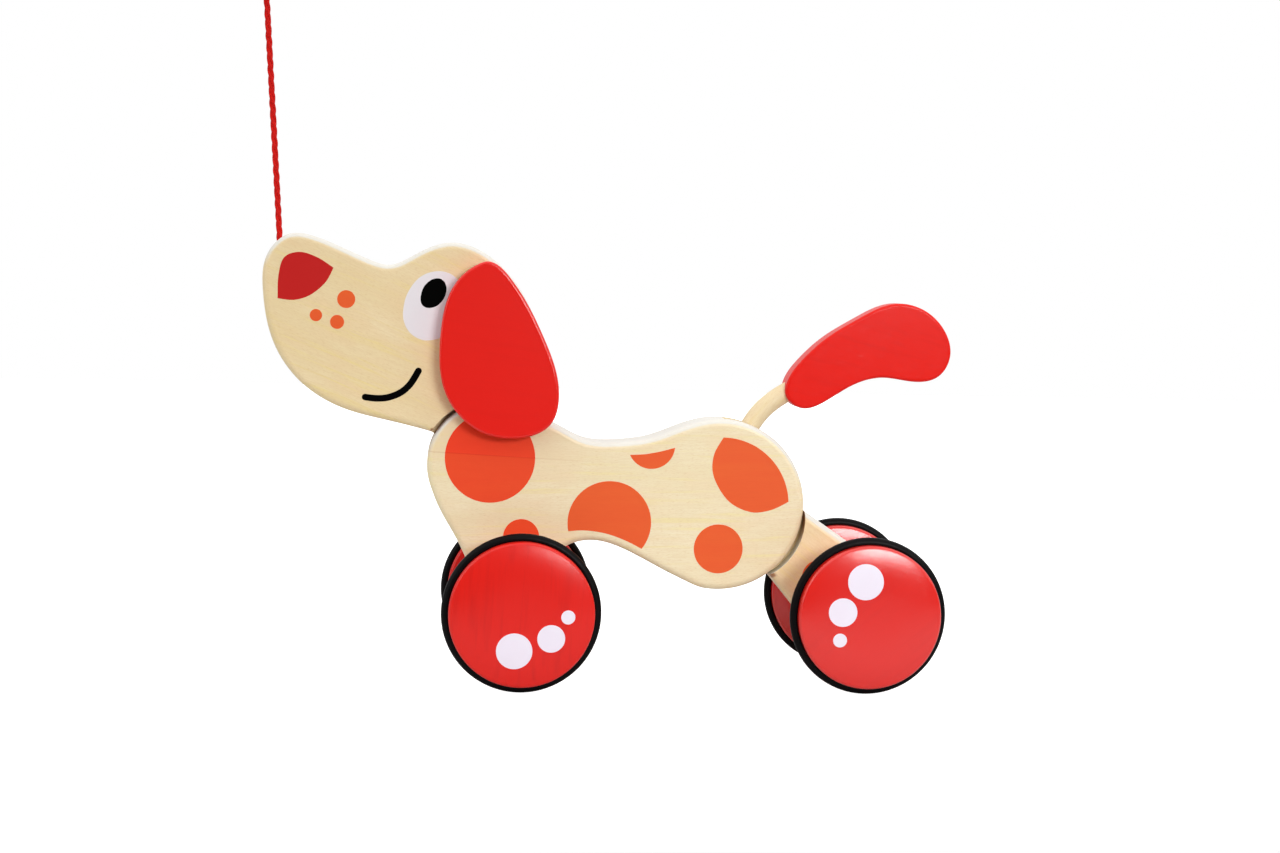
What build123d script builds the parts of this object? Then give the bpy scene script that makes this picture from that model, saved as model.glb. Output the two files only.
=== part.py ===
"""Pull-along wooden puppy on four wheels, as separate pieces, one STEP file each.

Millimetres. +X runs from the nose to the tail, +Z is up, and the puppy's left side faces -Y.
The origin is on the floor, below the middle of the toy's length and width.
Outlines are drawn in the X-Z plane and extruded symmetrically about the plane Y = 0.
"""

from build123d import *
import math
import os

# Layers, across the width
PLATE_T = 8.0             # each side plate of the body
CORE_T = 10.0             # middle layer between the plates
BODY_T = 2 * PLATE_T + CORE_T
TONGUE_T = CORE_T - 0.6   # the part of the head and of the leg that turns between the plates
EAR_T = 7.0
EAR_GAP = 1.4             # between the head's face and the ear
PADDLE_T = 14.0

# Rounding of the boards' edges
PLATE_EDGE = 3.0
HEAD_EDGE = 3.0
LEG_EDGE = 3.6
EAR_EDGE = 1.3
PADDLE_EDGE = 1.4

# Pivots and axles, as (x, z)
NECK = (-55.9, 101.4)
HIP = (51.6, 84.3)
EAR_PIVOT = (-54.7, 181.0)   # straight above the ears' centre of mass
FRONT_AXLE = (-41.5, 36.5)
REAR_AXLE = (118.5, 36.5)

# Round ends of the body, concentric with the pivots
NECK_LOBE_R = 29.6
HIP_LOBE_R = 40.2
HEAD_GAPS = (1.8, 1.3, 2.2)   # from the neck's lobe to the shoulder: at its low angle, middle, high
LEG_GAPS = (1.0, 2.3, 0.6)    # the same at the hip
TONGUE_R = 16.0           # round end of a tongue
POCKET_R = TONGUE_R + 1.0
POCKET_REACH = 52.0       # past the edge of the lobe

# Angles around the pivots, in degrees from +X towards +Z
NECK_POCKET = (37.0, 206.0)
HIP_POCKET = (-94.0, 79.0)
HEAD_SHOULDER = (58.0, 151.5)
LEG_SHOULDER = (-53.0, -3.5)
HEAD_TONGUE = (60.5, 152.2)
LEG_TONGUE = (-50.5, -7.5)
TAIL_ANGLE = 65.5

# Wheels
TRACK = 74.8              # between the middles of the left and right wheels
WHEEL_R = 36.5            # over the tyre
DISC_R = 33.2
DISC_T = 18.0             # at the middle
DISC_FLAT_R = 9.0
DISC_CROWN = 2.2          # how far each face falls away at the rim
DISC_EDGE = 1.6
TYRE_TUBE_R = 2.4
AXLE_R = 4.0
AXLE_DEPTH = 11.0         # how far the axle goes into each disc
SPACER_R = 7.5
SPACER_END_GAP = 0.5      # between a spacer and the board beside it
PAW_R = 22.8              # round lower end of the hind leg
FRONT_PAW_R = 16.0        # round lower end of the body's front leg

# Pins and dowels
PIN_R = 4.0
PIN_DEPTH = 5.0           # how far a pin goes into each side plate
RUNNING_GAP = 0.06        # radial clearance where a shaft turns in wood
DOWEL_R = 3.0
DOWEL_DEPTH = 4.5
DOWEL_PLACES = [(-22.0, 92.0), (12.0, 86.0), (-52.0, 61.0)]
EAR_DOWEL_DEPTH = 4.5

# Tail
TAIL_ROD_R = 4.6
TAIL_TENON_R = 2.8
TAIL_TENON_DEPTH = 8.0
TAIL_POINTS = [(66.9, 120.9), (74.2, 130.3), (85.0, 137.9), (95.2, 142.8)]
TAIL_STOP_ANGLE = 79.5    # where the rod meets the front end of its slot
TAIL_SLOT_HALF = 5.2      # half the slot's width beside the rod at that stop

# Pull cord: the ends of its straight runs, as (x, z)
CORD_D = 2.8
CORD_BORE_R = 1.6
CORD_ROUTE = [(-154.1, 193.0), (-154.6, 203.0), (-163.9, 345.5)]
BALL_R = 13.0
BALL_AT = 0.885           # how far along the upper run the ball's centre is
BALL_BORE_R = 1.7
KNOT_R = 3.6

PARTS = "parts"


def on_circle(centre, radius, angle):
    """The point at an angle, in degrees, on a circle around a pivot."""
    turn = math.radians(angle)
    return (centre[0] + radius * math.cos(turn), centre[1] + radius * math.sin(turn))


def heading(angle):
    """The unit direction at an angle, in degrees."""
    return on_circle((0, 0), 1, angle)


def slab(outline, thickness, middle=0.0):
    """A board of one outline, thickness wide, with its middle at Y = middle."""
    face = make_face(Plane.XZ * outline)
    return Pos(0, middle, 0) * extrude(face, amount=thickness / 2, both=True)


def rod(centre, radius, low, high):
    """A round rod or bore along Y, from low to high."""
    turned = Rot(90, 0, 0) * Cylinder(radius, high - low)
    return Pos(centre[0], (low + high) / 2, centre[1]) * turned


def round_faces(board, radius, sides, sharp_r=0.0):
    """Rounds the edges of the flat faces on the named sides, -1 and 1, but for arcs of sharp_r."""
    flats = board.faces().filter_by(Axis.Y).sort_by(Axis.Y)
    edges = ShapeList()
    for side in sides:
        edges += flats[0 if side < 0 else -1].edges()
    return fillet(edges.filter_by(lambda edge: not is_arc_of(edge, sharp_r)), radius)


def is_arc_of(edge, radius):
    """Whether an edge is an arc of that radius."""
    return edge.geom_type == GeomType.CIRCLE and math.isclose(edge.radius, radius, rel_tol=1e-6)


def sector(centre, inner, outer, angles):
    """A closed outline between two radii and two angles around a pivot."""
    middle = (angles[0] + angles[1]) / 2
    near = [on_circle(centre, inner, a) for a in (angles[0], middle, angles[1])]
    far = [on_circle(centre, outer, a) for a in (angles[0], middle, angles[1])]
    return (
        ThreePointArc(*near)
        + Line(near[2], far[2])
        + ThreePointArc(far[2], far[1], far[0])
        + Line(far[0], near[0])
    )


def shoulder(centre, lobe_r, angles, gaps):
    """The arc of a board that turns just outside a lobe of the body, from low angle to high."""
    turns = (angles[0], (angles[0] + angles[1]) / 2, angles[1])
    return ThreePointArc(*(on_circle(centre, lobe_r + g, a) for g, a in zip(gaps, turns)))


def body_outline():
    """The body, its neck and hip lobes, and its front leg."""
    neck = [on_circle(NECK, NECK_LOBE_R, a) for a in (58, 130, 200)]
    hip = [on_circle(HIP, HIP_LOBE_R, a) for a in (103, 0, -98)]
    paw = [on_circle(FRONT_AXLE, FRONT_PAW_R, a) for a in (-12, -90, -158)]
    back = Spline(
        [neck[0], (-26.6, 120.7), (-12.0, 113.8), (2.4, 112.9), (18.6, 115.1), hip[0]],
        tangents=[heading(-32), heading(13)],
    )
    belly = Spline(
        [hip[2], (37.6, 47.4), (25.3, 53.4), (5.3, 63.5), (-10.0, 66.7), (-20.4, 63.6), paw[0]],
        tangents=[heading(172), heading(-102)],
    )
    chest = Spline(
        [paw[2], (-71.1, 66.4), (-80.0, 82.0), neck[2]],
        tangents=[heading(112), heading(110)],
    )
    return (
        ThreePointArc(*neck)
        + back
        + ThreePointArc(*hip)
        + belly
        + ThreePointArc(*paw)
        + chest
    )


def head_outline():
    """The head, from the jaw's corner round the snout and brow to the nape."""
    neck = shoulder(NECK, NECK_LOBE_R, HEAD_SHOULDER, HEAD_GAPS)
    face = Spline(
        [
            neck @ 1,
            (-101.7, 120.9),
            (-125.7, 127.2),
            (-144.8, 139.4),
            (-156.3, 156.5),
            (-161.3, 180.0),
            (-159.4, 196.8),
            (-149.5, 206.0),
            (-135.4, 204.2),
            (-114.0, 195.3),
            (-103.8, 193.0),
            (-93.1, 197.6),
            (-75.2, 203.9),
            (-60.8, 199.6),
            (-47.1, 187.4),
            (-36.7, 168.9),
            (-33.4, 148.0),
            neck @ 0,
        ],
        tangents=[heading(165), heading(-112)],
    )
    return neck + face


def ear_outline():
    """A long egg, narrower at the top, that hangs a little to the rear."""
    return Spline(
        [
            (-62.0, 195.0),
            (-74.4, 184.4),
            (-80.4, 160.0),
            (-77.0, 133.6),
            (-62.8, 118.2),
            (-45.0, 114.6),
            (-29.0, 121.4),
            (-25.4, 135.0),
            (-33.2, 161.8),
            (-47.8, 187.0),
        ],
        periodic=True,
    )


def touching_angle(point, centre, radius, side):
    """The angle on a circle where a line from an outside point touches it."""
    across, up = centre[0] - point[0], centre[1] - point[1]
    lean = math.asin(radius / math.hypot(across, up))
    return math.degrees(math.atan2(up, across) + side * (lean + math.pi / 2))


def leg_outline():
    """The hind leg outside the body, from its shoulder to the round paw."""
    hip = shoulder(HIP, HIP_LOBE_R, LEG_SHOULDER, LEG_GAPS)
    low, high = ((point.X, point.Y) for point in (hip @ 0, hip @ 1))
    top = touching_angle(high, REAR_AXLE, PAW_R, 1)
    under = touching_angle(low, REAR_AXLE, PAW_R, -1)
    paw = [on_circle(REAR_AXLE, PAW_R, a) for a in (top, (top + under) / 2, under)]
    return hip + Line(high, paw[0]) + ThreePointArc(*paw) + Line(paw[2], low)


def paddle_outline():
    """The tail's flat end: narrow at the rod, full and bent down at the tip."""
    return Spline(
        [
            (84.6, 133.2),
            (92.4, 130.0),
            (102.6, 134.1),
            (113.7, 141.0),
            (128.5, 145.3),
            (145.7, 143.6),
            (155.5, 146.1),
            (161.3, 156.3),
            (158.6, 167.4),
            (147.6, 177.9),
            (134.1, 180.5),
            (116.4, 173.1),
            (101.7, 163.9),
            (89.6, 152.6),
            (82.9, 142.0),
        ],
        periodic=True,
    )


def pin_hole(centre, depth=PIN_DEPTH, radius=PIN_R):
    """A blind hole from the inner face of both plates."""
    reach = CORE_T / 2 + depth
    return rod(centre, radius, -reach, reach)


def side_plate(side):
    """One side of the body: rounded outside, flat inside, blind holes for the pins."""
    middle = side * (CORE_T + PLATE_T) / 2
    plate = round_faces(slab(body_outline(), PLATE_T, middle), PLATE_EDGE, [side])
    plate -= pin_hole(NECK)
    plate -= pin_hole(HIP)
    for place in DOWEL_PLACES:
        plate -= pin_hole(place, DOWEL_DEPTH, DOWEL_R)
    plate -= rod(FRONT_AXLE, AXLE_R + RUNNING_GAP, -BODY_T, BODY_T)
    return plate


def body_core():
    """The middle layer, with open pockets where the head and the hind leg turn."""
    core = slab(body_outline(), CORE_T)
    for centre, angles in ((NECK, NECK_POCKET), (HIP, HIP_POCKET)):
        core -= rod(centre, POCKET_R, -BODY_T, BODY_T)
        core -= slab(sector(centre, POCKET_R / 2, POCKET_REACH, angles), BODY_T)
    core -= tail_slot()
    for place in DOWEL_PLACES:
        core -= rod(place, DOWEL_R, -BODY_T, BODY_T)
    return core - rod(FRONT_AXLE, AXLE_R + RUNNING_GAP, -BODY_T, BODY_T)


def tail_slot():
    """The front end of the slot in which the tail rod swings."""
    middle = on_circle(HIP, POCKET_REACH / 2, TAIL_STOP_ANGLE)
    slot = Rot(0, -TAIL_STOP_ANGLE, 0) * Box(POCKET_REACH, BODY_T, 2 * TAIL_SLOT_HALF)
    return Pos(middle[0], 0, middle[1]) * slot


def plate_dowels():
    """The three dowels that join the plates through the core."""
    reach = CORE_T / 2 + DOWEL_DEPTH
    return Compound([rod(place, DOWEL_R, -reach, reach) for place in DOWEL_PLACES])


def pivot_pin(centre):
    """A pin fixed in both plates, which a tongue turns on."""
    reach = CORE_T / 2 + PIN_DEPTH
    return rod(centre, PIN_R, -reach, reach)


def tongue(centre, angles, lobe_r):
    """The thin round end of a board, from its pivot out under the shoulder."""
    overlap = 4.5
    wedge = slab(sector(centre, TONGUE_R / 2, lobe_r + overlap, angles), TONGUE_T)
    blade = rod(centre, TONGUE_R, -TONGUE_T / 2, TONGUE_T / 2) + wedge
    return blade - rod(centre, PIN_R + RUNNING_GAP, -BODY_T, BODY_T)


def head_board():
    """The head, its tongue, the ears' bore and the cord's bore in the snout."""
    board = slab(head_outline(), BODY_T)
    neck = shoulder(NECK, NECK_LOBE_R, HEAD_SHOULDER, HEAD_GAPS)
    board = round_faces(board, HEAD_EDGE, [-1, 1], neck.radius)
    board += tongue(NECK, HEAD_TONGUE, NECK_LOBE_R)
    board -= rod(EAR_PIVOT, PIN_R + RUNNING_GAP, -BODY_T, BODY_T)
    board -= cord_bore()
    return board


def cord_bore():
    """A blind bore along the cord's lowest run, open at the top of the snout."""
    low, mouth = (Vector(x, 0, z) for x, z in CORD_ROUTE[:2])
    run = (mouth - low).normalized()
    length = 2 * (mouth - low).length
    return Plane(origin=low + run * length / 2, z_dir=run) * Cylinder(CORD_BORE_R, length)


def ear(side):
    """One painted ear, with a blind hole for the dowel it hangs on."""
    inner = BODY_T / 2 + EAR_GAP
    board = round_faces(slab(ear_outline(), EAR_T, side * (inner + EAR_T / 2)), EAR_EDGE, [-1, 1])
    reach = inner + EAR_DOWEL_DEPTH
    return board - rod(EAR_PIVOT, PIN_R, -reach, reach)


def ear_dowel():
    """Joins both ears and turns in the head."""
    reach = BODY_T / 2 + EAR_GAP + EAR_DOWEL_DEPTH
    return rod(EAR_PIVOT, PIN_R, -reach, reach)


def hind_leg():
    """The hind leg, its tongue, the tail's socket and the rear axle's bore."""
    board = slab(leg_outline(), BODY_T)
    hip = shoulder(HIP, HIP_LOBE_R, LEG_SHOULDER, LEG_GAPS)
    board = round_faces(board, LEG_EDGE, [-1, 1], hip.radius)
    board += tongue(HIP, LEG_TONGUE, HIP_LOBE_R)
    board -= rod(REAR_AXLE, AXLE_R + RUNNING_GAP, -BODY_T, BODY_T)
    return board - tail_tenon()


def tail_tenon():
    """The thin end of the tail rod, along the tongue's radius."""
    start = on_circle(HIP, TONGUE_R - TAIL_TENON_DEPTH, TAIL_ANGLE)
    along = heading(TAIL_ANGLE)
    middle = TAIL_TENON_DEPTH / 2
    centre = Vector(start[0] + along[0] * middle, 0, start[1] + along[1] * middle)
    plane = Plane(origin=centre, z_dir=(along[0], 0, along[1]))
    return plane * Cylinder(TAIL_TENON_R, TAIL_TENON_DEPTH)


def tail_rod():
    """A bent round rod from the hip's tongue out of the slot and into the paddle."""
    base = on_circle(HIP, TONGUE_R, TAIL_ANGLE)
    along = heading(TAIL_ANGLE)
    path = Plane.XZ * Spline([base] + TAIL_POINTS, tangents=[along, heading(24)])
    section = Plane(origin=path @ 0, z_dir=path % 0) * Circle(TAIL_ROD_R)
    return sweep(section, path) + tail_tenon()


def tail_paddle():
    """The painted end of the tail, glued over the rod."""
    board = round_faces(slab(paddle_outline(), PADDLE_T), PADDLE_EDGE, [-1, 1])
    return board - tail_rod()


def disc_section():
    """Half of a disc's section: both faces are flat in the middle and fall away to the rim."""
    half = DISC_T / 2
    curved = DISC_R - DISC_FLAT_R
    shares = (0, 0.5, 0.8, 1)
    top = [(DISC_FLAT_R + curved * share, half - DISC_CROWN * share**3) for share in shares]
    bottom = [(x, -y) for x, y in reversed(top)]
    fall = 3 * DISC_CROWN / curved
    return (
        Line((0, half), top[0])
        + Spline(top, tangents=[(1, 0), (1, -fall)])
        + Line(top[-1], bottom[0])
        + Spline(bottom, tangents=[(-1, -fall), (-1, 0)])
        + Line(bottom[-1], (0, -half))
        + Line((0, -half), (0, half))
    )


def wheel_disc(axle, side):
    """A turned wooden disc with a groove for the tyre and a blind bore for the axle."""
    disc = revolve(make_face(Plane.XY * disc_section()), Axis.Y)
    rims = disc.edges().filter_by(lambda edge: is_arc_of(edge, DISC_R))
    disc = Pos(axle[0], side * TRACK / 2, axle[1]) * fillet(rims, DISC_EDGE)
    disc -= tyre(axle, side)
    inner = TRACK / 2 - DISC_T / 2
    ends = sorted((side * (inner - 1), side * (inner + AXLE_DEPTH)))
    return disc - rod(axle, AXLE_R, *ends)


def tyre(axle, side):
    """A round rubber ring in the disc's groove."""
    ring = Rot(90, 0, 0) * Torus(WHEEL_R - TYRE_TUBE_R, TYRE_TUBE_R)
    return Pos(axle[0], side * TRACK / 2, axle[1]) * ring


def wheel_axle(axle):
    """Fixed in both discs, it turns in the board between them."""
    reach = TRACK / 2 - DISC_T / 2 + AXLE_DEPTH
    return rod(axle, AXLE_R, -reach, reach)


def spacer(axle, side):
    """A sleeve on the axle that keeps the wheel away from the board."""
    low = BODY_T / 2 + SPACER_END_GAP
    high = TRACK / 2 - DISC_T / 2
    ends = sorted((side * low, side * high))
    return rod(axle, SPACER_R, *ends) - rod(axle, AXLE_R, *ends)


def cord_path():
    """The cord's straight runs, joined by a gentle arc where it leaves the snout."""
    points = [Vector(x, 0, z) for x, z in CORD_ROUTE]
    first = points[1] - points[0]
    second = points[2] - points[1]
    turn = math.radians(first.get_angle(second))
    radius = 0.45 * min(first.length, second.length) / math.tan(turn / 2)
    print("cord arc radius", round(radius, 1))
    return FilletPolyline(*points, radius=[radius])


def pull_cord():
    """The cord from the bottom of its bore to the knot above the ball."""
    path = cord_path()
    section = Plane(origin=path @ 0, z_dir=path % 0) * Circle(CORD_D / 2)
    tube = sweep(section, path)
    print("cord length", round(path.length, 1), "volume ratio",
          round(tube.volume / (path.length * math.pi * CORD_D**2 / 4), 4))
    return tube


def cord_frame(share):
    """A plane square to the upper run of the cord, at a share of its length."""
    mouth, end = (Vector(x, 0, z) for x, z in CORD_ROUTE[1:])
    return Plane(origin=mouth + (end - mouth) * share, z_dir=(end - mouth).normalized())


def pull_ball():
    """The wooden ball that a child holds, bored for the cord."""
    ball = Sphere(BALL_R) - Cylinder(BALL_BORE_R, 3 * BALL_R)
    return cord_frame(BALL_AT) * ball


def cord_knot():
    """The knot that keeps the ball on the cord."""
    flattened = 0.85
    knot = scale(Sphere(KNOT_R), by=(1, 1, flattened))
    mouth, end = (Vector(x, 0, z) for x, z in CORD_ROUTE[1:])
    run = (end - mouth).length
    knot_at = 1 + KNOT_R * flattened / run
    return cord_frame(knot_at) * knot


def all_parts():
    """Every piece, by the name of its node."""
    parts = {
        "side_plate_left": side_plate(-1),
        "side_plate_right": side_plate(1),
        "body_core": body_core(),
        "plate_dowels": plate_dowels(),
        "neck_pin": pivot_pin(NECK),
        "hip_pin": pivot_pin(HIP),
        "head_board": head_board(),
        "ear_left": ear(-1),
        "ear_right": ear(1),
        "ear_dowel": ear_dowel(),
        "hind_leg": hind_leg(),
        "tail_rod": tail_rod(),
        "tail_paddle": tail_paddle(),
        "pull_cord": pull_cord(),
        "pull_ball": pull_ball(),
        "cord_knot": cord_knot(),
    }
    for end, axle in (("front", FRONT_AXLE), ("rear", REAR_AXLE)):
        parts[f"{end}_axle"] = wheel_axle(axle)
        for name, side in (("left", -1), ("right", 1)):
            parts[f"{end}_wheel_{name}"] = wheel_disc(axle, side)
            parts[f"{end}_tyre_{name}"] = tyre(axle, side)
            parts[f"{end}_spacer_{name}"] = spacer(axle, side)
    return parts


os.makedirs(PARTS, exist_ok=True)
for node, shape in all_parts().items():
    export_step(shape, os.path.join(PARTS, f"{node}.step"))
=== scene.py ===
"""Looks for the pull-along wooden puppy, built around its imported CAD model.

Metres, in the CAD frame: +X runs from the nose to the tail, the puppy's left side faces -Y, +Z is up.
Outlines of painted marks are in millimetres, in the X-Z plane, and are turned into metres when they
are laid on a face.
"""

import math

import bmesh
import bpy
from mathutils import Matrix, Vector
from mathutils.bvhtree import BVHTree


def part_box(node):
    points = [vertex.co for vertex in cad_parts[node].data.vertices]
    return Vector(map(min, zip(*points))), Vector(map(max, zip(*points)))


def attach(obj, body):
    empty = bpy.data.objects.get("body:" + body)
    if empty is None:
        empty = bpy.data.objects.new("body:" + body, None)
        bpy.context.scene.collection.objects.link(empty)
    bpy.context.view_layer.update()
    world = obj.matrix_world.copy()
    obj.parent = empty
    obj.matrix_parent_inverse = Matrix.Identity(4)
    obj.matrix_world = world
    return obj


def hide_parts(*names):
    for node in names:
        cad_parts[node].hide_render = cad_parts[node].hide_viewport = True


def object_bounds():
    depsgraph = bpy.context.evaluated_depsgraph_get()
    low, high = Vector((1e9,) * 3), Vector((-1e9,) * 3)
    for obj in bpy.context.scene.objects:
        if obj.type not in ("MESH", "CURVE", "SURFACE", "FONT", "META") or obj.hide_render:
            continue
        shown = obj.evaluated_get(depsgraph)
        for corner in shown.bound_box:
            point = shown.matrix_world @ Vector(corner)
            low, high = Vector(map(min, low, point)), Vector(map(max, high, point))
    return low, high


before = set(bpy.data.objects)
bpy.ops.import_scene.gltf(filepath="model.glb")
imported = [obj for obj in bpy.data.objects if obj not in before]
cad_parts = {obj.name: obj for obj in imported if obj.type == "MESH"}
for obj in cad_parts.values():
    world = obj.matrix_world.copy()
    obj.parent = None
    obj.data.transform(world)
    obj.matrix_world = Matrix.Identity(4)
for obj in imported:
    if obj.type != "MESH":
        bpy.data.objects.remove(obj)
cad_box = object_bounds()

MM = 0.001
LEFT, RIGHT = -1, 1
SIDES = ((LEFT, "left"), (RIGHT, "right"))


# ---------------------------------------------------------------- camera

CAMERA_AT = Vector((-0.08035, -0.93814, 0.18990))
CAMERA_YAW = 0.1006       # radians, to the puppy's tail
CAMERA_PITCH = -0.0743    # radians, down
CAMERA_ROLL = 0.0245
CAMERA_LENS = 56.25       # on a sensor 36 mm wide


def make_camera():
    """The camera at the viewing angle, with no shift and no depth of field."""
    level = math.cos(CAMERA_PITCH)
    ahead = Vector((math.sin(CAMERA_YAW) * level, math.cos(CAMERA_YAW) * level, math.sin(CAMERA_PITCH)))
    right = Vector((math.cos(CAMERA_YAW), -math.sin(CAMERA_YAW), 0))
    up = right.cross(ahead)
    across = math.cos(CAMERA_ROLL) * right + math.sin(CAMERA_ROLL) * up
    upward = -math.sin(CAMERA_ROLL) * right + math.cos(CAMERA_ROLL) * up
    data = bpy.data.cameras.new("camera")
    data.lens = CAMERA_LENS
    data.sensor_width = 36
    data.clip_start = 0.05
    camera = bpy.data.objects.new("camera", data)
    turn = Matrix((across, upward, -ahead)).transposed()
    camera.matrix_world = Matrix.Translation(CAMERA_AT) @ turn.to_4x4()
    bpy.context.scene.collection.objects.link(camera)
    bpy.context.scene.camera = camera


# ---------------------------------------------------------------- shader helpers


class Nodes:
    """Short ways to add nodes to a node tree."""

    def __init__(self, tree, coordinates):
        self.tree = tree
        self.place = tree.nodes.new("ShaderNodeTexCoord").outputs[coordinates]

    def node(self, kind, inputs, **settings):
        """A node with its settings and its inputs, by name or number, as values or as links."""
        made = self.tree.nodes.new(kind)
        for name, value in settings.items():
            setattr(made, name, value)
        for name, value in inputs.items():
            if isinstance(value, bpy.types.NodeSocket):
                self.tree.links.new(value, made.inputs[name])
            else:
                made.inputs[name].default_value = value
        return made

    def span(self, value, low, high, to_low=0.0, to_high=1.0):
        """A value from low to high, as to_low to to_high."""
        made = self.node(
            "ShaderNodeMapRange",
            {0: value, 1: low, 2: high, 3: to_low, 4: to_high},
            clamp=True,
        )
        return made.outputs[0]

    def math(self, kind, first, second):
        """One sum on two values."""
        return self.node("ShaderNodeMath", {0: first, 1: second}, operation=kind).outputs[0]


class Shader(Nodes):
    """A material with one Principled shader, and the patterns that its colours and bumps use."""

    def __init__(self, name, **sockets):
        self.material = bpy.data.materials.new(name)
        self.material.use_nodes = True
        super().__init__(self.material.node_tree, "Object")
        self.surface = self.tree.nodes["Principled BSDF"]
        self.set(**sockets)

    def set(self, **sockets):
        """Sets the shader's own sockets: base_color becomes Base Color, and so on."""
        for name, value in sockets.items():
            socket = self.surface.inputs[name.replace("_", " ").title().replace("Ior", "IOR")]
            if isinstance(value, bpy.types.NodeSocket):
                self.tree.links.new(value, socket)
            else:
                socket.default_value = (*value, 1) if isinstance(value, tuple) else value

    def noise(self, size, angle=0.0, seed=0.0, detail=2.0, distortion=0.0, rough=0.5, place=None):
        """Noise with features of a size (along, across) in metres, along a grain angle in degrees."""
        along, across = size
        space = self.node(
            "ShaderNodeMapping",
            {
                "Vector": self.place if place is None else place,
                "Location": (0.37 * seed, 0.23 * seed, 0.11 * seed),
                "Rotation": (0, -math.radians(angle), 0),
                "Scale": (along, across, across),
            },
            vector_type="TEXTURE",
        )
        made = self.node(
            "ShaderNodeTexNoise",
            {
                "Vector": space.outputs[0],
                "Scale": 1.0,
                "Detail": detail,
                "Roughness": rough,
                "Distortion": distortion,
            },
        )
        return made.outputs[0]

    def mix(self, share, first, second, kind="MIX"):
        """Two colours mixed by a share."""
        colours = {6: first, 7: second}
        for index, colour in colours.items():
            if isinstance(colour, tuple) and len(colour) == 3:
                colours[index] = (*colour, 1)
        made = self.node("ShaderNodeMix", {0: share, **colours}, data_type="RGBA", blend_type=kind)
        return made.outputs[2]

    def on_edges(self):
        """Two masks: 1 on all of a board's sawn edges, and 1 on those that look up."""
        facing = self.tree.nodes.new("ShaderNodeTexCoord").outputs["Normal"]
        way = self.node("ShaderNodeSeparateXYZ", {0: facing}).outputs
        aside = self.span(self.math("ABSOLUTE", way["Y"], 0), 0.86, 0.985, 1, 0)
        return aside, self.math("MULTIPLY", aside, self.span(way["Z"], 0.10, 0.40))

    def near(self, centre, radius, fade=0.0010):
        """1 within a radius of an axis across the puppy, which passes (x, z)."""
        parts = self.node("ShaderNodeSeparateXYZ", {0: self.place}).outputs
        across = self.math("SUBTRACT", parts["X"], centre[0])
        up = self.math("SUBTRACT", parts["Z"], centre[1])
        squared = self.math("ADD", self.math("MULTIPLY", across, across), self.math("MULTIPLY", up, up))
        return self.span(self.math("SQRT", squared, 0), radius - fade, radius, 1, 0)

    def bump(self, height, depth, strength=1.0, normal=None):
        """A bumped normal, depth in metres from the lowest to the highest point."""
        inputs = {"Height": height, "Distance": depth, "Strength": strength}
        if normal is not None:
            inputs["Normal"] = normal
        return self.node("ShaderNodeBump", inputs).outputs[0]


# ---------------------------------------------------------------- materials

MAPLE = (0.865, 0.765, 0.520)
MAPLE_HEAD = (0.835, 0.690, 0.418)
BIRCH_LEG = (0.895, 0.730, 0.440)
BEECH_ROD = (0.830, 0.700, 0.450)
# pale tone for the sawn edges that look up: painted top light
PAINTED_TOP_LIGHT = (0.770, 0.750, 0.690)
# dark brown for the tongues and the shoulders' walls: painted shade in the gap between the parts
GAP_PAINTED_SHADE = (0.380, 0.165, 0.060)
LACQUER_RED = (0.780, 0.0110, 0.0060)
# the lacquer red painted darker on the wheels: painted shade against the extra light they catch
WHEEL_RED_SHADED = (0.710, 0.0110, 0.0060)
NOSE_RED = (0.530, 0.0090, 0.0080)
SPOT_ORANGE = (0.800, 0.105, 0.022)
SPOT_RED = (0.830, 0.066, 0.016)    # the two front spots are redder
EYE_WHITE = (0.800, 0.760, 0.790)
LILAC_WHITE = (0.820, 0.760, 0.860)
INK = (0.002, 0.002, 0.002)
CORD_RED = (0.800, 0.013, 0.009)
RUBBER_BLACK = (0.0016, 0.0010, 0.0014)
RUBBER_BLOOM = (0.006, 0.004, 0.006)


def scaled(colour, shares):
    """A colour times three shares."""
    return tuple(part * share for part, share in zip(colour, shares))


# Noise in the wood: the size of its features along the grain and across it
BANDS = (0.110, 0.012)
STREAKS = (0.050, 0.0022)
CLOUDS = (0.030, 0.012)
FIBRES = (0.007, 0.0004)
FLECKS = (0.0018, 0.00024)
WOOD_BUMP = 0.00005
VARNISH_BUMP = 0.00003


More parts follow.
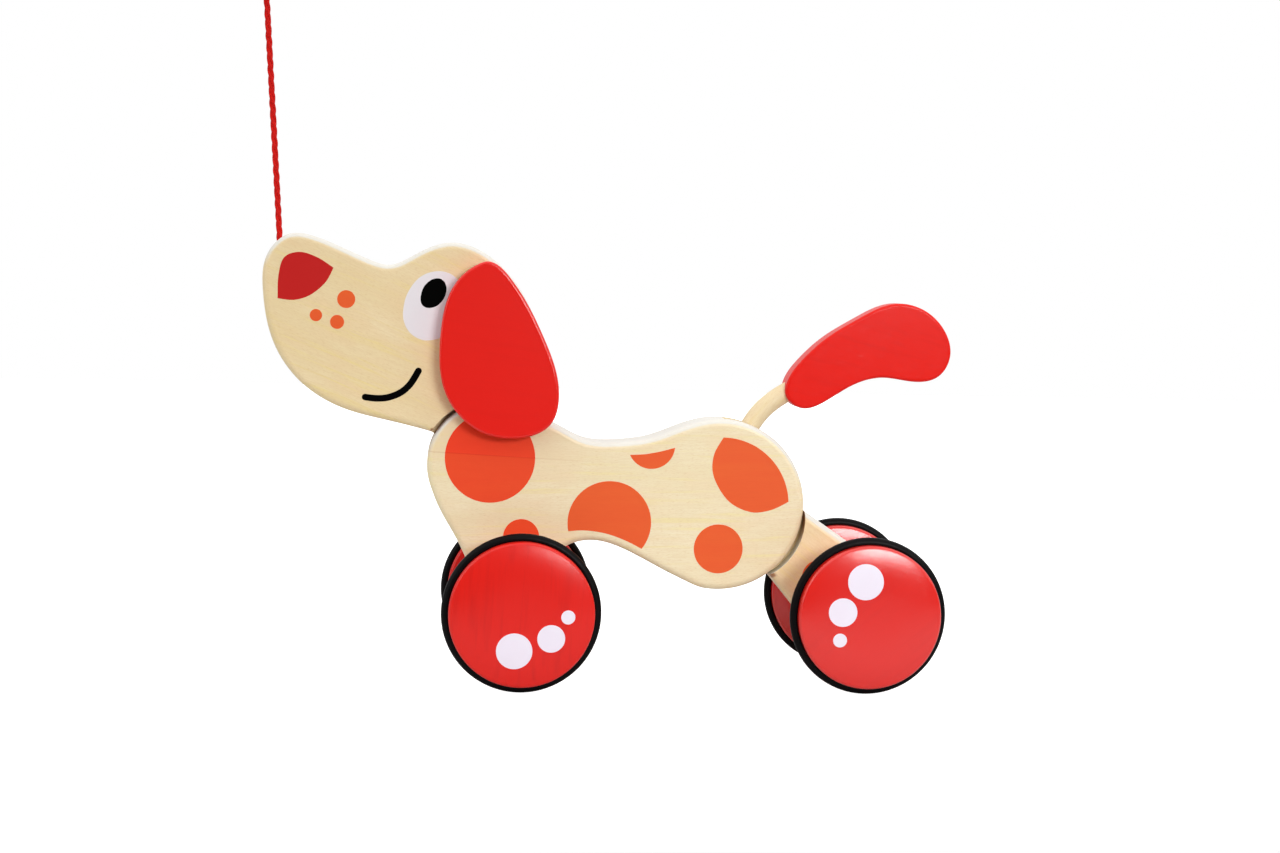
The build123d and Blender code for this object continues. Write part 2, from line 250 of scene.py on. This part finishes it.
def wood(name, colour, angle, seed, joint_at=None, edge=PAINTED_TOP_LIGHT, tongue=None):
    """Varnished pale wood: bands, yellow streaks and short fibres along one grain direction.

    Edges that look up get painted top light; a tongue and its wall get painted shade, in dark brown.
    """
    shader = Shader(name, coat_weight=0.35, coat_roughness=0.30, coat_ior=1.5)
    bands = shader.noise(BANDS, angle, seed, detail=2.0, distortion=0.3)
    streaks = shader.noise(STREAKS, angle, seed + 3, detail=3.0, distortion=0.5)
    clouds = shader.noise(CLOUDS, angle, seed + 9, detail=3.0, distortion=0.4)
    fibres = shader.noise(FIBRES, angle, seed + 5, detail=3.0, rough=0.6)
    flecks = shader.noise(FLECKS, angle, seed + 7, detail=1.0)
    light, dark = scaled(colour, (1.03, 1.02, 1.04)), scaled(colour, (0.99, 0.96, 0.90))
    tone = shader.mix(shader.span(bands, 0.35, 0.65), light, dark)
    # Each pattern: where in its noise it starts and is full, its strength then, and its tint
    for pattern, start, full, strength, tint in (
        (clouds, 0.46, 0.64, 0.75, (1.00, 0.91, 0.85)),
        (streaks, 0.55, 0.68, 0.85, (1.00, 0.97, 0.70)),
        (fibres, 0.38, 0.72, 0.75, (0.94, 0.87, 0.79)),
        (flecks, 0.55, 0.72, 0.60, (0.86, 0.74, 0.58)),
    ):
        tone = shader.mix(shader.span(pattern, start, full, 0, strength), tone, scaled(colour, tint))
    if joint_at is not None:
        tone = glue_joint(shader, tone, colour, joint_at)
    edges, lit_top = shader.on_edges()
    # Sawn edges that look up are mixed toward a pale tone: painted top light
    if edge is not None:
        top_light_grained = shader.mix(shader.span(fibres, 0.4, 0.7), edge, scaled(edge, (0.96, 0.93, 0.87)))
        tone = shader.mix(lit_top, tone, top_light_grained)
    # The tongue and the shoulder's wall beside it are painted dark brown: painted shade in the gap
    if tongue is not None:
        pivot, inner, outer = tongue
        lower = shader.math("SUBTRACT", edges, lit_top)
        wall = shader.math("MULTIPLY", shader.near(pivot, outer), lower)
        tone = shader.mix(shader.math("MAXIMUM", shader.near(pivot, inner), wall), tone, GAP_PAINTED_SHADE)
    height = shader.math("ADD", shader.math("MULTIPLY", fibres, 0.6), shader.math("MULTIPLY", flecks, 0.4))
    shader.set(
        base_color=tone,
        roughness=shader.span(fibres, 0.3, 0.7, 0.42, 0.56),
        normal=shader.bump(height, WOOD_BUMP, 0.5),
        coat_normal=shader.bump(height, VARNISH_BUMP, 0.3),
    )
    return shader.material


GLUE_JOINT_Z = 0.1039     # where it crosses X = 0
GLUE_JOINT_SLOPE = 0.047  # down towards the tail
GLUE_JOINT_WANDER = 0.0008
GLUE_JOINT_FADES = (-0.060, 0.010)   # from where it is plain, in X, to where it is gone


def glue_joint(shader, tone, colour, height):
    """Two strips of one board: a hair line at a height, and a slightly browner strip above it."""
    parts = shader.node("ShaderNodeSeparateXYZ", {0: shader.place})
    wander = shader.math("MULTIPLY", shader.noise((0.05, 0.05), seed=9), GLUE_JOINT_WANDER)
    slope = shader.math("MULTIPLY", parts.outputs["X"], GLUE_JOINT_SLOPE)
    level = shader.math("ADD", shader.math("ADD", parts.outputs["Z"], wander), slope)
    fade = shader.span(parts.outputs["X"], *GLUE_JOINT_FADES, 1, 0)
    above = shader.math("MULTIPLY", shader.span(level, height, height + 0.0003), fade)
    tone = shader.mix(shader.math("MULTIPLY", above, 0.55), tone, scaled(colour, (0.96, 0.86, 0.76)))
    off = shader.math("ABSOLUTE", shader.math("SUBTRACT", level, height), 0)
    line = shader.math("MULTIPLY", shader.span(off, 0.0001, 0.0004, 0.6, 0), fade)
    return shader.mix(line, tone, scaled(colour, (0.80, 0.62, 0.45)))


PAINTED_WOOD_BUMP = 0.00008
GLOSS_BUMP = 0.00011
PRINT_BUMP = 0.00004
RUBBER_BUMP = 0.0003
YARN_BUMP = 0.00025


def lacquer(name, colour, angle, seed, streaky=0.15, gloss=0.9, gloss_rough=0.19, gloss_ior=1.5):
    """Glossy paint over wood: the grain shows as faint streaks, and as flecks in the gloss."""
    shader = Shader(
        name, specular_ior_level=0.05, coat_weight=gloss, coat_roughness=gloss_rough, coat_ior=gloss_ior
    )
    streaks = shader.noise((0.045, 0.0035), angle, seed, detail=3.0, distortion=0.4)
    fibres = shader.noise((0.006, 0.00045), angle, seed + 2, detail=2.0)
    flecks = shader.noise((0.0026, 0.00045), angle, seed + 4, detail=2.0, distortion=0.4)
    streaked = shader.span(streaks, 0.50, 0.72, 0, streaky)
    tone = shader.mix(streaked, colour, scaled(colour, (0.86, 0.85, 0.95)))
    tone = shader.mix(shader.span(fibres, 0.45, 0.8, 0, 0.25), tone, scaled(colour, (0.90, 1.0, 1.0)))
    height = shader.math("ADD", shader.math("MULTIPLY", fibres, 0.4), shader.math("MULTIPLY", flecks, 0.6))
    shader.set(
        base_color=tone,
        roughness=shader.span(fibres, 0.3, 0.7, 0.36, 0.46),
        normal=shader.bump(height, PAINTED_WOOD_BUMP, 0.5),
        coat_normal=shader.bump(height, GLOSS_BUMP, 0.7),
    )
    return shader.material


def paint(name, colour, angle, seed, show_through=0.5, gloss=0.25, joint_at=None):
    """Satin printed paint, thin enough for the grain below to show a little; redder above a glue joint as
    painted ear reflection.
    """
    shader = Shader(name, specular_ior_level=gloss, roughness=0.42)
    bands = shader.noise((0.060, 0.005), angle, seed, detail=3.0, distortion=0.4)
    fibres = shader.noise((0.006, 0.0004), angle, seed + 2, detail=2.0)
    tone = shader.mix(
        shader.span(bands, 0.35, 0.68, 0, show_through), colour, scaled(colour, (1.02, 1.22, 1.10))
    )
    tone = shader.mix(
        shader.span(fibres, 0.45, 0.8, 0, 0.5 * show_through), tone, scaled(colour, (0.93, 0.86, 0.90))
    )
    # Above the glue joint: the wood strip below, and a redder, darker tint as painted reflection and shade
    # from the ear
    if joint_at is not None:
        tone = glue_joint(shader, tone, scaled(colour, (1.10, 0.55, 0.8)), joint_at)
    shader.set(base_color=tone, normal=shader.bump(fibres, PRINT_BUMP, 0.5))
    return shader.material


def rubber(name):
    """Soft black rubber with a dull bluish bloom and a slightly uneven surface."""
    shader = Shader(name, specular_ior_level=0.10)
    lumps = shader.noise((0.006, 0.006), seed=1, detail=2.0)
    dust = shader.noise((0.0006, 0.0006), seed=4, detail=2.0)
    tone = shader.mix(shader.span(dust, 0.55, 0.8, 0, 0.5), RUBBER_BLACK, RUBBER_BLOOM)
    height = shader.math("ADD", lumps, shader.math("MULTIPLY", dust, 0.08))
    shader.set(
        base_color=tone,
        roughness=shader.span(dust, 0.3, 0.8, 0.34, 0.50),
        normal=shader.bump(height, RUBBER_BUMP, 0.5),
    )
    return shader.material


def yarn(name, colour):
    """Red yarn: fine threads that wind around each strand, with painted shade in their grooves and painted
    highlight on their crowns.
    """
    shader = Shader(name, roughness=0.7, specular_ior_level=0.1, sheen_weight=0.03, sheen_roughness=0.35)
    lengthwise = shader.node("ShaderNodeUVMap", {}, uv_map="strand").outputs[0]
    threads = shader.node(
        "ShaderNodeTexWave",
        {"Vector": lengthwise, "Scale": 1.0, "Distortion": 1.5, "Detail": 2.0, "Detail Scale": 1.5},
        bands_direction="DIAGONAL",
    ).outputs["Fac"]
    fuzz = shader.noise((0.0005, 0.0005), seed=6, detail=3.0)
    # Dark where the threads' bump is low and pale pink where it is high: painted shade and painted
    # highlight
    tone = shader.mix(threads, scaled(colour, (0.72, 0.5, 0.5)), scaled(colour, (1.15, 1.4, 1.4)))
    tone = shader.mix(shader.span(fuzz, 0.35, 0.7, 0, 0.3), tone, scaled(colour, (0.75, 0.6, 0.6)))
    height = shader.math("ADD", shader.math("MULTIPLY", threads, 0.7), shader.math("MULTIPLY", fuzz, 0.5))
    shader.set(base_color=tone, normal=shader.bump(height, YARN_BUMP, 0.8))
    return shader.material


def dress(node, material):
    """Gives a CAD node one material."""
    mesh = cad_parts[node].data
    mesh.materials.clear()
    mesh.materials.append(material)


NECK_GRAIN = -22.0
# A tongue's pivot, and how far from it the painted brown shade reaches on the tongue and on the shoulder's
# wall
NECK_TONGUE = ((-0.0559, 0.1014), 0.0305, 0.0330)
HIP_TONGUE = ((0.0516, 0.0843), 0.0410, 0.0438)
WHEEL_GRAIN = {"front": 88.0, "rear": 38.0}
WHEEL_STREAKS = {"front": 0.8, "rear": 0.35}
WHEEL_GLOSS = {"front": (0.65, 0.25, 1.5), "rear": (1.0, 0.20, 1.65)}   # weight, roughness, IOR


def dress_cad_nodes():
    """Every CAD node that stays gets the material of the real piece."""
    for seed, (_, name) in enumerate(SIDES):
        plate = wood(f"wood_plate_{name}", MAPLE, 1.0, 1.0 + 4 * seed, joint_at=GLUE_JOINT_Z)
        dress(f"side_plate_{name}", plate)
        dress(f"ear_{name}", lacquer(f"lacquer_ear_{name}", LACQUER_RED, -8.0, 11.0 + seed))
    dress("body_core", wood("wood_core", MAPLE, 0.0, 21.0))
    dress("head_board", wood("wood_head", MAPLE_HEAD, NECK_GRAIN, 2.0, tongue=NECK_TONGUE))
    dress("hind_leg", wood("wood_leg", BIRCH_LEG, -38.0, 8.0, tongue=HIP_TONGUE))
    dress("tail_rod", wood("wood_tail_rod", BEECH_ROD, 50.0, 14.0, edge=None))
    dress("tail_paddle", lacquer("lacquer_tail", LACQUER_RED, -14.0, 17.0, 0.4, 0.28))
    dress("pull_ball", lacquer("lacquer_ball", LACQUER_RED, 70.0, 19.0))
    dowel = wood("wood_dowel", BEECH_ROD, 0.0, 25.0, edge=None)
    for node in ("plate_dowels", "neck_pin", "hip_pin", "ear_dowel"):
        dress(node, dowel)
    tyre = rubber("rubber_tyre")
    for number, (end, angle) in enumerate(WHEEL_GRAIN.items()):
        dress(f"{end}_axle", dowel)
        for side, name in SIDES:
            seed = 31.0 + 6 * number + 3 * side
            disc = lacquer(
                f"lacquer_{end}_{name}", WHEEL_RED_SHADED, angle, seed, WHEEL_STREAKS[end], *WHEEL_GLOSS[end]
            )
            dress(f"{end}_wheel_{name}", disc)
            dress(f"{end}_tyre_{name}", tyre)
            dress(f"{end}_spacer_{name}", dowel)


# ---------------------------------------------------------------- outlines of painted marks, mm


def circle(centre, radius, steps=64):
    """A round outline."""
    return arc(centre, radius, 0, 360 - 360 / steps, steps - 1)


def arc(centre, radius, start, end, steps=24):
    """Points along an arc, from one angle in degrees to another."""
    points = []
    for step in range(steps + 1):
        turn = math.radians(start + (end - start) * step / steps)
        points.append((centre[0] + radius * math.cos(turn), centre[1] + radius * math.sin(turn)))
    return points


def bow(start, middle, end, steps=24):
    """Points along the arc through three points."""
    a, b, c = Vector(start), Vector(middle), Vector(end)
    u, v = b - a, c - a
    cross = 2 * (u.x * v.y - u.y * v.x)
    centre = a + Vector((v.y * u.dot(u) - u.y * v.dot(v), u.x * v.dot(v) - v.x * u.dot(u))) / cross
    first = math.atan2(a.y - centre.y, a.x - centre.x)
    last = math.atan2(c.y - centre.y, c.x - centre.x)
    if cross > 0 and last < first:
        last += 2 * math.pi
    if cross < 0 and last > first:
        last -= 2 * math.pi
    return arc(centre, (a - centre).length, math.degrees(first), math.degrees(last), steps)


def curve(points, closed=False, steps=10):
    """A smooth line through points, as a Catmull-Rom spline."""
    count = len(points)
    spans = count if closed else count - 1
    made = []
    for span in range(spans):
        if closed:
            p0, p1, p2, p3 = (Vector(points[(span + k) % count]) for k in (-1, 0, 1, 2))
        else:
            p0, p1, p2, p3 = (Vector(points[min(max(span + k, 0), count - 1)]) for k in (-1, 0, 1, 2))
        for step in range(steps):
            t = step / steps
            made.append(
                0.5 * (2 * p1 + (p2 - p0) * t + (2 * p0 - 5 * p1 + 4 * p2 - p3) * t**2
                       + (3 * p1 - p0 - 3 * p2 + p3) * t**3)
            )
    if not closed:
        made.append(Vector(points[-1]))
    return [tuple(point) for point in made]


def stroke(points, width):
    """The outline of a brush stroke along a smooth line, with round ends."""
    line = [Vector(p) for p in curve(points)]
    along = [(line[min(i + 1, len(line) - 1)] - line[max(i - 1, 0)]).normalized() for i in range(len(line))]
    half = width / 2
    one = [(p.x - half * d.y, p.y + half * d.x) for p, d in zip(line, along)]
    other = [(p.x + half * d.y, p.y - half * d.x) for p, d in zip(line, along)]
    first = math.degrees(math.atan2(along[0].y, along[0].x))
    last = math.degrees(math.atan2(along[-1].y, along[-1].x))
    tip = arc(line[-1], half, last + 90, last - 90, 10)[1:-1]
    tail = arc(line[0], half, first - 90, first - 270, 10)[1:-1]
    return one + tip + other[::-1] + tail


def nose():
    """A rounded triangle with two sharp corners."""
    side = curve([
        (-154.4, 176.5), (-154.1, 187.1), (-151.6, 195.2), (-144.6, 197.8), (-136.6, 195.5), (-129.3, 191.0)
    ])
    under = curve([(-129.3, 191.0), (-132.9, 184.2), (-139.6, 178.4), (-147.0, 175.9), (-154.4, 176.5)])
    return side + under[1:-1]


def haunch_spot():
    """A spot whose rear edge follows the hip's round end."""
    rear = bow((52.5, 116.2), (74.6, 107.2), (84.2, 86.3))
    front = curve([
        (84.2, 86.3), (76.0, 82.3), (66.3, 81.2), (55.6, 86.3), (48.4, 97.6), (48.1, 107.6), (52.5, 116.2)
    ])
    return rear + front[1:-1]


def belly_spot():
    """A spot cut off below by a line that runs along the belly."""
    cut = curve([(-19.4, 71.1), (-12.0, 71.6), (-2.5, 70.4), (6.9, 67.3), (15.2, 63.2)])
    around = bow((15.2, 63.2), (0.2, 94.9), (-19.4, 71.1), 40)
    return cut + around[1:-1]


def back_spot():
    """A half moon whose flat side runs along the back."""
    flat = curve([(8.7, 107.3), (15.9, 107.8), (22.9, 109.1), (29.8, 111.0)])
    around = bow((29.8, 111.0), (19.3, 100.9), (8.7, 107.3))
    return flat + around[1:-1]


EYE = [(-97.5, 171.4), (-96.2, 178.6), (-92.6, 185.0), (-88.0, 188.9), (-81.9, 190.6), (-76.0, 189.4),
       (-71.7, 185.4), (-69.8, 179.0), (-71.0, 171.6), (-74.6, 164.7), (-80.0, 160.2), (-85.9, 158.7),
       (-90.3, 159.5), (-94.3, 162.2), (-96.8, 166.5)]
PUPIL = [(-89.6, 178.5), (-89.2, 175.6), (-87.4, 173.9), (-84.6, 173.7), (-81.5, 175.1), (-78.9, 178.2),
         (-77.8, 182.2), (-78.6, 185.4), (-80.9, 187.2), (-84.0, 186.9), (-86.8, 185.0), (-88.7, 182.2)]
MOUTH = [(-114.2, 132.1), (-109.2, 131.6), (-103.8, 132.1), (-98.3, 134.3), (-93.8, 138.3), (-90.0, 144.6)]
MOUTH_WIDTH = 3.0
FRECKLES = [((-123.4, 176.8), 4.1), ((-137.0, 169.2), 2.8), ((-127.4, 166.3), 3.2)]
BODY_DISCS = [((-56.4, 104.9), 20.9), ((-41.3, 68.2), 8.4), ((51.4, 63.6), 11.6)]
LEG_DISC = ((99.9, 50.7), 8.2)
WHEEL_DOTS = {
    "front": [((-44.8, 20.6), 8.2), ((-28.2, 26.4), 6.3), ((-20.7, 36.2), 3.2)],
    "rear": [((115.3, 53.5), 8.3), ((105.1, 39.4), 6.6), ((104.1, 26.5), 3.2)],
}


# ---------------------------------------------------------------- laying marks on the pieces

PAINT_PROUD = 0.00006     # above the face
PAINT_ROOT = 0.00015      # below it
PAINT_ROLL = 0.00010      # how far the film's edge rounds in
RING_SHARES = (1.0, 0.75, 0.5, 0.25)


class Face:
    """The outer face of a CAD node on one side, as heights along Y."""

    def __init__(self, node, side):
        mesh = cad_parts[node].data
        points = [vertex.co.copy() for vertex in mesh.vertices]
        self.tree = BVHTree.FromPolygons(points, [tuple(face.vertices) for face in mesh.polygons])
        self.side = side

    def point(self, x, z, proud):
        """The point of the face at x and z, lifted off it by proud."""
        start = Vector((x, self.side, z))
        hit = self.tree.ray_cast(start, Vector((0, -self.side, 0)))[0]
        return Vector((x, hit.y + self.side * proud, z))


def lay_mark(name, outline, face, body, material, lift=0.0, crowned=False):
    """A thin closed film of paint with one outline, on a face; rings follow a crowned face."""
    middle = sum((Vector(p) for p in outline), Vector((0, 0))) / len(outline)
    mesh = bmesh.new()

    def ring(share, inset, proud):
        made = []
        for point in outline:
            arm = (Vector(point) - middle) * share
            arm *= max(0.0, 1 - inset / MM / max(arm.length, 1e-6))
            x, z = (middle + arm) * MM
            made.append(mesh.verts.new(face.point(x, z, proud)))
        return made

    def wall(first, second):
        for i in range(len(first)):
            j = (i + 1) % len(first)
            mesh.faces.new((first[i], first[j], second[j], second[i]))

    def cap(rim):
        if not crowned:
            mesh.faces.new(rim)
            return
        proud_here = (rim[0].co.y - face.point(rim[0].co.x, rim[0].co.z, 0).y) * face.side
        for share in RING_SHARES[1:]:
            inner = ring(share, 0, proud_here)
            wall(rim, inner)
            rim = inner
        centre = mesh.verts.new(face.point(*(middle * MM), proud_here))
        for i in range(len(rim)):
            mesh.faces.new((rim[i], rim[(i + 1) % len(rim)], centre))

    top = ring(1.0, PAINT_ROLL, lift + PAINT_PROUD)
    edge = ring(1.0, 0, lift + PAINT_PROUD / 3)
    root = ring(1.0, 0, -PAINT_ROOT)
    wall(top, edge)
    wall(edge, root)
    cap(top)
    cap(root)
    mesh.normal_update()
    bmesh.ops.triangulate(mesh, faces=[f for f in mesh.faces if len(f.verts) > 4])
    bmesh.ops.recalc_face_normals(mesh, faces=mesh.faces)
    data = bpy.data.meshes.new(name)
    mesh.to_mesh(data)
    mesh.free()
    data.materials.append(material)
    piece = bpy.data.objects.new(name, data)
    bpy.context.scene.collection.objects.link(piece)
    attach(piece, body)
    return piece


def paint_marks():
    """The face, the spots and the wheels' dots, the same on both sides."""
    orange_body = paint("paint_spots", SPOT_ORANGE, 1.0, 1.0, joint_at=GLUE_JOINT_Z)
    red_body = paint("paint_front_spots", SPOT_RED, 1.0, 1.0, joint_at=GLUE_JOINT_Z)
    orange_head = paint("paint_freckles", SPOT_ORANGE, NECK_GRAIN, 2.0)
    orange_leg = paint("paint_leg_spot", SPOT_ORANGE, -38.0, 8.0)
    nose_red = paint("paint_nose", NOSE_RED, NECK_GRAIN, 6.0, show_through=0.3)
    white = paint("paint_eye", EYE_WHITE, NECK_GRAIN, 4.0, show_through=0.05)
    ink = paint("paint_ink", INK, NECK_GRAIN, 5.0, show_through=0.0, gloss=0.0)
    lilac = paint("paint_dots", LILAC_WHITE, 80.0, 7.0, show_through=0.05)
    for side, name in SIDES:
        head = Face("head_board", side)
        lay_mark(f"nose_{name}", nose(), head, "head", nose_red)
        lay_mark(f"eye_{name}", curve(EYE, closed=True, steps=5), head, "head", white)
        pupil = curve(PUPIL, closed=True, steps=5)
        lay_mark(f"pupil_{name}", pupil, head, "head", ink, lift=PAINT_PROUD)
        lay_mark(f"mouth_{name}", stroke(MOUTH, MOUTH_WIDTH), head, "head", ink)
        for number, (centre, radius) in enumerate(FRECKLES):
            lay_mark(f"freckle_{number + 1}_{name}", circle(centre, radius), head, "head", orange_head)
        plate = Face(f"side_plate_{name}", side)
        for number, (centre, radius) in enumerate(BODY_DISCS):
            spot_colour = orange_body if centre[0] > 0 else red_body
            lay_mark(f"spot_{number + 1}_{name}", circle(centre, radius), plate, "torso", spot_colour)
        for label, outline in (("haunch", haunch_spot()), ("belly", belly_spot()), ("back", back_spot())):
            lay_mark(f"{label}_spot_{name}", outline, plate, "torso", orange_body)
        leg = Face("hind_leg", side)
        lay_mark(f"leg_spot_{name}", circle(*LEG_DISC), leg, "hind_leg", orange_leg)
        for end, dots in WHEEL_DOTS.items():
            disc = Face(f"{end}_wheel_{name}", side)
            for number, (centre, radius) in enumerate(dots):
                label = f"{end}_dot_{number + 1}_{name}"
                lay_mark(label, circle(centre, radius), disc, f"{end}_wheels", lilac, crowned=True)


# ---------------------------------------------------------------- pull cord

CORD_D = 0.0028
CORD_ROUTE = [(-0.1541, 0, 0.1930), (-0.1546, 0, 0.2030), (-0.1639, 0, 0.3455)]
STRANDS = 3
STRAND_R = 0.00080
STRAND_OFFSET = 0.00068
CORD_LEAD = 0.0153        # one full turn of a strand around the cord
CORD_STEP = 0.0004
STRAND_SIDES = 12
THREAD_TURNS = 7.0        # threads across one strand, in the yarn's pattern


def nurbs_line(route):
    """Points along the smooth line that a cord's route gives, with no bevel."""
    data = bpy.data.curves.new("route", "CURVE")
    data.dimensions = "3D"
    data.resolution_u = 64
    spline = data.splines.new("NURBS")
    spline.points.add(len(route) - 1)
    for point, place in zip(spline.points, route):
        point.co = (*place, 1)
    spline.order_u = 3
    spline.use_endpoint_u = True
    line = bpy.data.objects.new("route", data)
    bpy.context.scene.collection.objects.link(line)
    mesh = bpy.data.meshes.new_from_object(line)
    points = [vertex.co.copy() for vertex in mesh.vertices]
    bpy.data.objects.remove(line)
    bpy.data.curves.remove(data)
    bpy.data.meshes.remove(mesh)
    return points


def even_steps(points, step):
    """The same line, with points a step apart."""
    made = [points[0]]
    left = step
    for a, b in zip(points, points[1:]):
        length = (b - a).length
        at = left
        while at < length:
            made.append(a.lerp(b, at / length))
            at += step
        left = at - length
    if (points[-1] - made[-1]).length > step / 2:
        made.append(points[-1])
    return made


def frames_along(points):
    """A direction and two square arms at each point, that don't twist along the line."""
    arm = Vector((0, 1, 0))
    made = []
    for i in range(len(points)):
        ahead = (points[min(i + 1, len(points) - 1)] - points[max(i - 1, 0)]).normalized()
        arm = (arm - ahead * arm.dot(ahead)).normalized()
        made.append((ahead, arm.copy(), ahead.cross(arm)))
    return made


def laid_cord(name, points, material, taper=0.0):
    """Strands laid around each other along a line, left-handed, with closed ends."""
    mesh = bmesh.new()
    thread = mesh.loops.layers.uv.new("strand")
    frames = frames_along(points)
    for strand in range(STRANDS):
        centres = []
        for i, (point, (_, arm, side)) in enumerate(zip(points, frames)):
            turn = -2 * math.pi * (i * CORD_STEP / CORD_LEAD + strand / STRANDS)
            centres.append(point + STRAND_OFFSET * (math.cos(turn) * arm + math.sin(turn) * side))
        rings = []
        for i, (centre, (_, arm, side)) in enumerate(zip(centres, frames_along(centres))):
            swell = 1 + 0.05 * math.sin(2 * math.pi * i * CORD_STEP / (CORD_LEAD / STRANDS) + 2 * strand)
            end = min(i, len(points) - 1 - i) * CORD_STEP
            swell *= 1 - taper * math.exp(-end / CORD_D)
            rings.append([
                mesh.verts.new(centre + STRAND_R * swell * (math.cos(a) * arm + math.sin(a) * side))
                for a in (2 * math.pi * k / STRAND_SIDES for k in range(STRAND_SIDES))
            ])
        for i in range(len(rings) - 1):
            for k in range(STRAND_SIDES):
                n = (k + 1) % STRAND_SIDES
                face = mesh.faces.new((rings[i][k], rings[i][n], rings[i + 1][n], rings[i + 1][k]))
                face.smooth = True
                for loop, (u, v) in zip(face.loops, ((i, k), (i, k + 1), (i + 1, k + 1), (i + 1, k))):
                    along = u * CORD_STEP / STRAND_R * 0.5
                    loop[thread].uv = (along, v / STRAND_SIDES * THREAD_TURNS)
        mesh.faces.new(rings[0][::-1])
        mesh.faces.new(rings[-1])
    bmesh.ops.recalc_face_normals(mesh, faces=mesh.faces)
    data = bpy.data.meshes.new(name)
    mesh.to_mesh(data)
    mesh.free()
    data.materials.append(material)
    piece = bpy.data.objects.new(name, data)
    bpy.context.scene.collection.objects.link(piece)
    return piece


KNOT_LOBE = 0.00078       # size of the overhand knot's centreline
KNOT_STEPS = 120


def knot_line(centre, ahead):
    """The centreline of an overhand knot pulled tight, square to the cord."""
    _, arm, side = frames_along([centre, centre + ahead])[0]
    made = []
    for i in range(KNOT_STEPS + 1):
        t = 2 * math.pi * i / KNOT_STEPS
        x = math.sin(t) + 2 * math.sin(2 * t)
        y = math.cos(t) - 2 * math.cos(2 * t)
        z = -1.3 * math.sin(3 * t)
        made.append(centre + KNOT_LOBE * (x * arm + y * side + z * ahead))
    return even_steps(made, CORD_STEP)


def make_cord():
    """The pull cord and its knot, which stand for their plain CAD solids."""
    red = yarn("yarn_red", CORD_RED)
    line = even_steps(nurbs_line([Vector(point) for point in CORD_ROUTE]), CORD_STEP)
    cord = laid_cord("pull_cord_laid", line, red)
    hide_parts("pull_cord")
    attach(cord, "head")
    low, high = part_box("cord_knot")
    ahead = (line[-1] - line[-2]).normalized()
    knot = laid_cord("cord_knot_tied", knot_line((low + high) / 2, ahead), red, taper=0.5)
    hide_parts("cord_knot")
    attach(knot, "head")


# ---------------------------------------------------------------- light and floor

FLOOR_FRONT = -0.29       # the table's front edge, towards the camera
FLOOR_HALF = 1.6
FLOOR_BACK = 2.4
FLOOR_GREY = (0.60, 0.60, 0.60)
# Each light: azimuth and elevation in degrees, distance, width and height, and watts
LIGHTS = {
    "key": (22, 16.0, 1.25, (0.46, 0.25), 6.6),
    "right_fill": (66, 22, 1.2, (0.3, 0.6), 1.2),
    "left_fill": (-66, 18, 1.2, (0.4, 0.8), 2.6),
}
LIGHT_TARGET_Z = 0.09
# The room's light: from and to, upwards or backwards, and how bright it is at each
ROOM_ABOVE = (0.20, 0.75, 0, 1.25)
ROOM_BEHIND = (0.05, 0.55, 0, 0.85)
ROOM_LEAST = 0.08


def make_floor():
    """A plain pale table top under the toy, which looks as white as the backdrop."""
    shader = Shader("floor", base_color=FLOOR_GREY, roughness=0.9, specular_ior_level=0.0)
    seen = shader.node("ShaderNodeLightPath", {}).outputs["Is Camera Ray"]
    shader.set(emission_color=(1.0, 1.0, 1.0), emission_strength=seen)
    mesh = bmesh.new()
    front = [(-FLOOR_HALF, FLOOR_FRONT), (FLOOR_HALF, FLOOR_FRONT)]
    back = [(FLOOR_HALF, FLOOR_BACK), (-FLOOR_HALF, FLOOR_BACK)]
    mesh.faces.new([mesh.verts.new((x, y, 0)) for x, y in front + back])
    data = bpy.data.meshes.new("floor")
    mesh.to_mesh(data)
    mesh.free()
    data.materials.append(shader.material)
    floor = bpy.data.objects.new("floor", data)
    bpy.context.scene.collection.objects.link(floor)


def soft_box(name, azimuth, elevation, distance, size, power):
    """A rectangular soft light that faces the toy; azimuth 0 is at the camera's side, + to the tail."""
    low, high = cad_box
    target = Vector(((low.x + high.x) / 2, 0, LIGHT_TARGET_Z))
    turn, rise = math.radians(azimuth), math.radians(elevation)
    away = Vector((math.sin(turn) * math.cos(rise), -math.cos(turn) * math.cos(rise), math.sin(rise)))
    data = bpy.data.lights.new(name, "AREA")
    data.shape = "RECTANGLE"
    data.size, data.size_y = size
    data.energy = power
    light = bpy.data.objects.new(name, data)
    light.location = target + away * distance
    light.rotation_mode = "QUATERNION"
    light.rotation_quaternion = (-away).to_track_quat("-Z", "Y")
    bpy.context.scene.collection.objects.link(light)


def make_light():
    """Soft boxes, and a room that is bright above and behind, and dim at the camera's side."""
    for name, settings in LIGHTS.items():
        soft_box(name, *settings)
    world = bpy.data.worlds.new("studio")
    bpy.context.scene.world = world
    world.use_nodes = True
    world.node_tree.nodes.clear()
    room = Nodes(world.node_tree, "Generated")
    way = room.node("ShaderNodeSeparateXYZ", {0: room.place})
    above = room.span(way.outputs["Z"], *ROOM_ABOVE)
    behind = room.span(way.outputs["Y"], *ROOM_BEHIND)
    brightness = room.math("ADD", room.math("MAXIMUM", above, behind), ROOM_LEAST)
    white = (1, 1, 1, 1)
    dome = room.node("ShaderNodeBackground", {"Color": white, "Strength": brightness})
    backdrop = room.node("ShaderNodeBackground", {"Color": white, "Strength": 1.0})
    rays = room.node("ShaderNodeLightPath", {})
    inputs = {0: rays.outputs["Is Camera Ray"], 1: dome.outputs[0], 2: backdrop.outputs[0]}
    chosen = room.node("ShaderNodeMixShader", inputs)
    room.node("ShaderNodeOutputWorld", {0: chosen.outputs[0]})
    bpy.context.scene.view_settings.view_transform = "Standard"


make_camera()
make_cord()
dress_cad_nodes()
paint_marks()
make_floor()
make_light()
